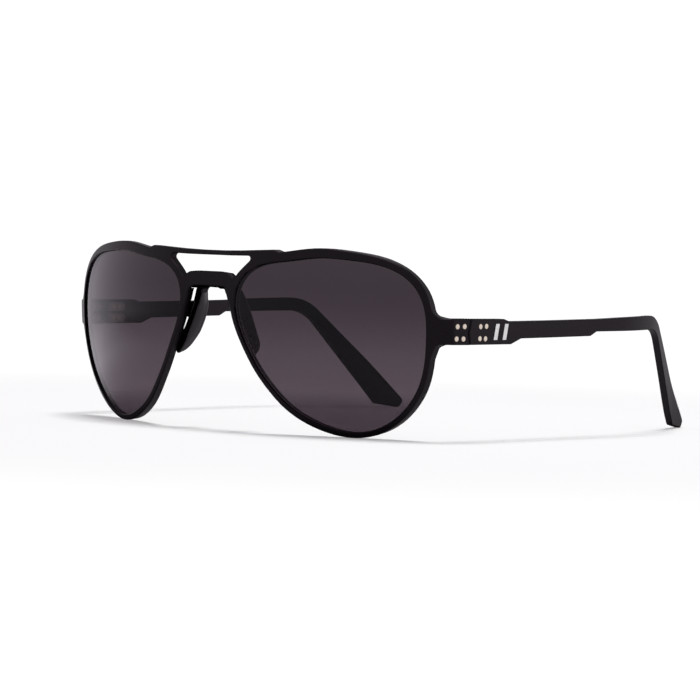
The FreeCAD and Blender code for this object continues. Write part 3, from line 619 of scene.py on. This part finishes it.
def front_surface(x, z):
    """y of the front's outer surface."""
    dx = max(abs(x) - CURVE_X, 0.0)
    return CURVE_R - math.sqrt(CURVE_R * CURVE_R - dx * dx - (z - CURVE_Z) ** 2)


def pad_section(row):
    """One pad section (x, y): crowned front strip and nasal face, thin rear edge."""
    _, nose_x, rim_x, front_y, rear_x, rear_y = row
    rim = np.array([rim_x, front_y])
    nose = np.array([nose_x, front_y + 0.05])
    rear = np.array([rear_x, rear_y])
    nasal = rear - nose
    length = np.linalg.norm(nasal)
    outward = np.array([-nasal[1], nasal[0]]) / length
    crown = 0.055 * length
    side = rim - rear
    return closed_bspline([
        # front strip, from the rim side to the nose side
        rim + (0.0, 0.30), rim + (-0.05, 0.02), rim + (-0.28, -0.03),
        (rim + nose) / 2 + (0, -0.06),
        nose + (0.34, -0.02), nose + (0.06, 0.06), nose + (0.0, 0.34),
        # nasal face
        nose + nasal * 0.30 + outward * crown,
        nose + nasal * 0.62 + outward * crown * 1.15,
        nose + nasal * 0.88 + outward * crown * 0.55,
        # rear edge
        rear + (-0.42, 0.02), rear + (-0.16, 0.36), rear + (0.16, 0.30), rear + (0.32, -0.30),
        # face beside the rim
        rear + side * 0.4 + (0.05, 0), rear + side * 0.75 + (0.02, 0),
    ], 72)


def pad():
    tip_height, tip_scale = 0.8, 0.55  # the section shrinks to this scale at the bottom
    sections = []
    for row in spline_rows(120):
        z = row[0]
        ring = pad_section(row)
        k = smooth01((z - PAD_BOTTOM) / tip_height)
        centre = ring.mean(axis=0)
        ring = centre + (ring - centre) * (tip_scale + (1 - tip_scale) * math.sqrt(k))
        sections.append(at_height(ring, z))
    return tube(sections)


def tab(bottom, top, reach):
    """A tab behind the rim, rounded off at its two ends."""
    rim_depth, gap = 2.4, 0.06
    end_round = 0.5
    rows = spline_rows(200)
    last = len(rows) - 1
    sections = []
    for z in np.linspace(bottom, top, 30):
        place = (PAD_TOP - z) / (PAD_TOP - PAD_BOTTOM) * last
        rim_x = rows[int(np.clip(place, 0, last))][2]
        size = math.sqrt(np.clip(min(z - bottom, top - z) / end_round, 0.08, 1.0))
        y = front_surface(rim_x, z) + rim_depth + gap
        tip = rim_x + reach * size
        ring = closed_bspline([
            (rim_x - 0.9, y), (rim_x - 0.2, y), (tip - 0.2, y), (tip, y + 0.1),
            (tip, y + 0.6 * size), (tip - 0.3, y + 0.9 * size),
            (rim_x - 0.2, y + 1.0 * size), (rim_x - 0.9, y + 1.0 * size),
        ], 28)
        sections.append(at_height(ring, z))
    return tube(sections)


def arch(x):
    """Height of the arch under the saddle; level beyond ARCH_END."""
    x = min(x, ARCH_END)
    fall = max(0.0, x - ARCH_FLAT)
    rise = math.sqrt(max(0.0, ARCH_RADIUS**2 - fall ** 2))
    return ARCH_Z + rise - 0.04 * smooth01(x / 2.0)


def saddle():
    """The bar across, arched underneath, behind the lower bridge."""
    sections = []
    for x in np.linspace(-SADDLE_HALF, SADDLE_HALF, 110):
        ax = abs(x)
        top = 42.0 - 0.55 * smooth01((ax - 4.6) / 2.6)
        low = arch(ax) + 2.3 * smooth01((ax - 5.2) / 1.1)
        y0 = 2.60
        y1 = 5.55 - 0.5 * smooth01((ax - 5.6) / 1.6)
        if ax > SADDLE_ROUND_FROM:
            size = math.sqrt(max(0.05, 1 - ((ax - SADDLE_ROUND_FROM) / 0.72) ** 2))
            mid_z, mid_y = (top + low) / 2, (y0 + y1) / 2
            top, low = mid_z + (top - mid_z) * size, mid_z + (low - mid_z) * size
            y0, y1 = mid_y + (y0 - mid_y) * size, mid_y + (y1 - mid_y) * size
        ring = closed_bspline([
            # front, top, rear, underside
            (y0, low + 0.30), (y0, (low + top) / 2), (y0, top - 0.35),
            (y0 + 0.35, top), ((y0 + y1) / 2, top + 0.05), (y1 - 0.45, top - 0.05),
            (y1, top - 0.55), (y1 + 0.04, (low + top) / 2), (y1 - 0.02, low + 0.35),
            (y1 - 0.4, low), ((y0 + y1) / 2, low - 0.02), (y0 + 0.30, low),
        ], 48)
        sections.append(at_side(ring, x))
    return tube(sections)


def filler():
    """Shallow front of the saddle that fills the pocket behind the bridge."""
    front_depth, back_depth = 1.20, 2.50  # behind the front's outer surface
    sections = []
    for x in np.linspace(-FILLER_HALF, FILLER_HALF, 150):
        ax = abs(x)
        top = 43.30 - 0.25 * smooth01((ax - 3.5) / 3.4) - 0.595 * max(0.0, ax - 6.95)
        heights = np.linspace(max(arch(ax), 38.62), top, 26)
        ring = [(front_surface(x, z) + front_depth, z) for z in heights]
        ring += [(front_surface(x, z) + back_depth, z) for z in heights[::-1]]
        sections.append(at_side(np.array(ring), x))
    return tube(sections)


def build_nose_piece():
    verts, faces = [], []

    def add(body, side=1):
        points, polygons = body
        base = len(verts)
        verts.extend([(side * x, y, z) for x, y, z in points])
        faces.extend([tuple(base + i for i in polygon[::side]) for polygon in polygons])

    for body in [pad()] + [tab(*sizes) for sizes in TABS]:
        add(body)
        add(body, side=-1)
    add(saddle())
    add(filler())
    obj = mesh_object("nose_piece_moulded", verts, faces)

    # one skin over the overlapping bodies, made in mm so that small details survive
    skin = obj.modifiers.new("skin", "REMESH")
    skin.mode = "VOXEL"
    skin.voxel_size = 0.12
    soften = obj.modifiers.new("soften", "SMOOTH")
    soften.factor = 0.5
    soften.iterations = 7
    depsgraph = bpy.context.evaluated_depsgraph_get()
    mesh = bpy.data.meshes.new_from_object(obj.evaluated_get(depsgraph))
    obj.modifiers.clear()
    obj.data = mesh

    # "lip": how far each point lies into the thin rear lip of its pad, where the rubber gets a
    # painted highlight
    co = np.zeros(len(mesh.vertices) * 3)
    mesh.vertices.foreach_get("co", co)
    co = co.reshape(-1, 3)
    rows = np.array(spline_rows(300))[::-1]
    rear = np.interp(co[:, 2], rows[:, 0], rows[:, 5])
    lip = smooth01((co[:, 1] - (rear - 0.55)) / 0.75) * smooth01((37.6 - co[:, 2]) / 2.0)
    attribute = mesh.attributes.new("lip", "FLOAT", "POINT")
    attribute.data.foreach_set("value", lip.astype(np.float32))

    co[:, 1] += SHIFT_Y
    co[:, 2] += SHIFT_Z
    mesh.vertices.foreach_set("co", (co * MM).ravel())
    mesh.update()
    for polygon in mesh.polygons:
        polygon.use_smooth = True
    mesh.materials.append(RUBBER)
    return obj


nose = build_nose_piece()
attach(nose, "front")
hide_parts("nose_piece")


# ---------------------------------------------------------------- stage
ROOM_TINT = rgb(1.0, 0.945, 1.02)
DIRECT_WHITE = 1.06  # floor and world brightness where the camera sees them directly

# Floor brightness seen through a lens: distance along the view from the origin (m), strength
THROUGH_PROFILE = [(0.0, 0.96), (0.065, 1.04), (0.12, 1.25), (0.18, 1.46), (0.25, 1.37),
                   (0.35, 1.31), (0.49, 1.22), (0.60, 1.11), (0.72, 1.02), (0.86, 0.91),
                   (1.03, 0.81), (1.28, 0.71), (1.8, 0.66)]
PROFILE_LENGTH, PROFILE_PEAK = 2.0, 2.0  # what 1 on the colour ramp stands for


def room_level(t, x, y, z):
    """Brightness of the room in a direction, as reflections see it."""
    behind_minus_x = t.times(t.ramp(y, lo=-0.78, hi=0.22), by=t.ramp(x, lo=0.35, hi=-0.55))
    behind_plus_x = t.times(t.ramp(y, lo=0.0, hi=0.8), by=t.ramp(x, lo=-0.2, hi=0.5))
    low = t.ramp(z, lo=0.52, hi=0.12)
    ahead = t.times(t.ramp(y, lo=0.1, hi=-0.5), by=t.ramp(z, lo=0.05, hi=0.35))
    level = t.linear(t.times(behind_minus_x, by=low), gain=0.47, offset=0.245)
    level = t.linear(t.times(behind_plus_x, by=low), gain=0.22, offset=level)
    level = t.linear(ahead, gain=0.08, offset=level)
    level = t.linear(t.ramp(z, lo=0.30, hi=0.75), gain=-0.12, offset=level)
    # bright patch straight above
    return t.linear(t.ramp(z, lo=0.90, hi=0.985), gain=1.3, offset=level)


def through_lens(t, path):
    return t.math("GREATER_THAN", path["Transparent Depth"], 0.5)


def floor_seen(t, position, path):
    """The floor for the camera: lit paper that melts into a bright backdrop."""
    cloud = t.noise(position, scale=4.0)
    paper = t.first("BsdfDiffuse", {"Color": t.mottle(cloud, rgb(0.895), rgb(0.905))})
    view = (-math.sin(CAMERA_YAW), math.cos(CAMERA_YAW), 0.0)
    along = t.times(t.vmath("DOT_PRODUCT", position, view), by=1 / PROFILE_LENGTH)
    profile = t.node("ValToRGB", {0: along})
    bar = profile.color_ramp
    while len(bar.elements) < len(THROUGH_PROFILE):
        bar.elements.new(0.5)
    for element, (distance, strength) in zip(bar.elements, THROUGH_PROFILE):
        element.position = distance / PROFILE_LENGTH
        element.color = rgb(strength / PROFILE_PEAK)
    through = through_lens(t, path)
    seen = t.times(profile.outputs[0], by=PROFILE_PEAK)
    glow = t.first("Emission", {"Strength": t.mix_number(through, DIRECT_WHITE, seen)})
    # painted light: the near floor is 30% flat glow, which lightens its shadows
    fill = t.first("Emission", {"Strength": 1.04})
    near = t.mix_shader(0.30, paper, fill)
    radius = t.vmath("LENGTH", position)
    fade_out = t.mix_number(through, t.ramp(radius, lo=0.15, hi=0.38),
                            t.ramp(radius, lo=0.06, hi=0.16))
    return t.mix_shader(fade_out, near, glow)


def floor_reflected(t, position):
    """The floor for other rays: a dim table with a painted pool of light behind at -x, fading
    into the room.
    """
    x, y, _ = t.split(position)
    # painted pool of light: the table is paler in a patch at -x
    pale = t.times(t.ramp(x, lo=-0.055, hi=-0.15), by=t.ramp(y, lo=-0.15, hi=-0.03))
    colour = t.mix(pale, rgb(0.24, 0.23, 0.242), rgb(0.86, 0.84, 0.87))
    table = t.first("BsdfDiffuse", {"Color": colour})
    row_y = t.math("ADD", y, -SHIFT_Y * MM)
    reach = t.math("SQRT", t.math("ADD", t.times(x, by=x), t.times(row_y, by=row_y)))
    inverse = t.math("DIVIDE", 1.0, t.math("MAXIMUM", reach, 0.01))
    level = room_level(t, t.times(x, by=inverse), t.times(row_y, by=inverse), 0.0)
    room = t.first("Emission", {"Color": ROOM_TINT, "Strength": level})
    return t.mix_shader(t.ramp(reach, lo=0.20, hi=0.46), table, room)


def build_floor():
    n, size = 40, 6.0
    verts = [((i / n - 0.5) * size, (j / n - 0.5) * size, 0.0)
             for j in range(n + 1) for i in range(n + 1)]
    faces = []
    for j in range(n):
        for i in range(n):
            a = j * (n + 1) + i
            faces.append((a, a + 1, a + n + 2, a + n + 1))
    floor = mesh_object("floor", verts, faces)
    mat, t = material("pale_floor")
    position = t.node("NewGeometry").outputs["Position"]
    path = t.node("LightPath").outputs
    t.surface(t.mix_shader(path["Is Camera Ray"], floor_reflected(t, position),
                           floor_seen(t, position, path)))
    floor.data.materials.append(mat)


def build_overhead():
    """One large softbox overhead."""
    place, target = Vector((0.03, 0.02, 1.1)), Vector((0.02, 0.0, 0.0))
    data = bpy.data.lights.new("overhead", "AREA")
    data.shape = "SQUARE"
    data.size = 0.36
    data.energy = 8.8
    light = bpy.data.objects.new("overhead", data)
    scene.collection.objects.link(light)
    light.location = place
    light.rotation_mode = "QUATERNION"
    light.rotation_quaternion = (target - place).to_track_quat("-Z", "Y")
    light.visible_glossy = False


def build_world():
    through_strength = 0.655  # the world as seen through a lens
    world = bpy.data.worlds.new("studio")
    scene.world = world
    world.use_nodes = True
    t = Tree(world.node_tree)
    level = room_level(t, *t.split(t.coords("Generated")))
    path = t.node("LightPath").outputs
    camera_ray = path["Is Camera Ray"]
    seen = t.mix_number(through_lens(t, path), DIRECT_WHITE, through_strength)
    background = t.first("Background", {
        "Color": t.mix(camera_ray, ROOM_TINT, rgb(1.0)),
        "Strength": t.mix_number(camera_ray, level, seen),
    })
    t.node("OutputWorld", {"Surface": background})


def build_camera():
    """A long lens in front at +x, looking back towards -x and slightly down."""
    pitch, roll = math.radians(2.19), math.radians(1.71)
    place = (0.66751, -0.7425 + SHIFT_Y * MM, 0.06115 + SHIFT_Z * MM)
    data = bpy.data.cameras.new("camera")
    data.sensor_fit = "HORIZONTAL"
    data.sensor_width = 36.0
    data.lens = 188.537143
    data.clip_start, data.clip_end = 0.05, 50.0
    camera = bpy.data.objects.new("camera", data)
    scene.collection.objects.link(camera)
    back = Vector((math.sin(CAMERA_YAW) * math.cos(pitch),
                   -math.cos(CAMERA_YAW) * math.cos(pitch), math.sin(pitch)))
    level = Vector((math.cos(CAMERA_YAW), math.sin(CAMERA_YAW), 0.0))
    upright = back.cross(level)
    right = math.cos(roll) * level + math.sin(roll) * upright
    up = -math.sin(roll) * level + math.cos(roll) * upright
    rows = [(right[i], up[i], back[i], place[i]) for i in range(3)]
    camera.matrix_world = Matrix(rows + [(0, 0, 0, 1)])
    scene.camera = camera


build_floor()
build_overhead()
build_world()
build_camera()

scene.view_settings.view_transform = "Standard"
scene.view_settings.look = "None"
scene.view_settings.exposure = 0.0
scene.view_settings.gamma = 1.0
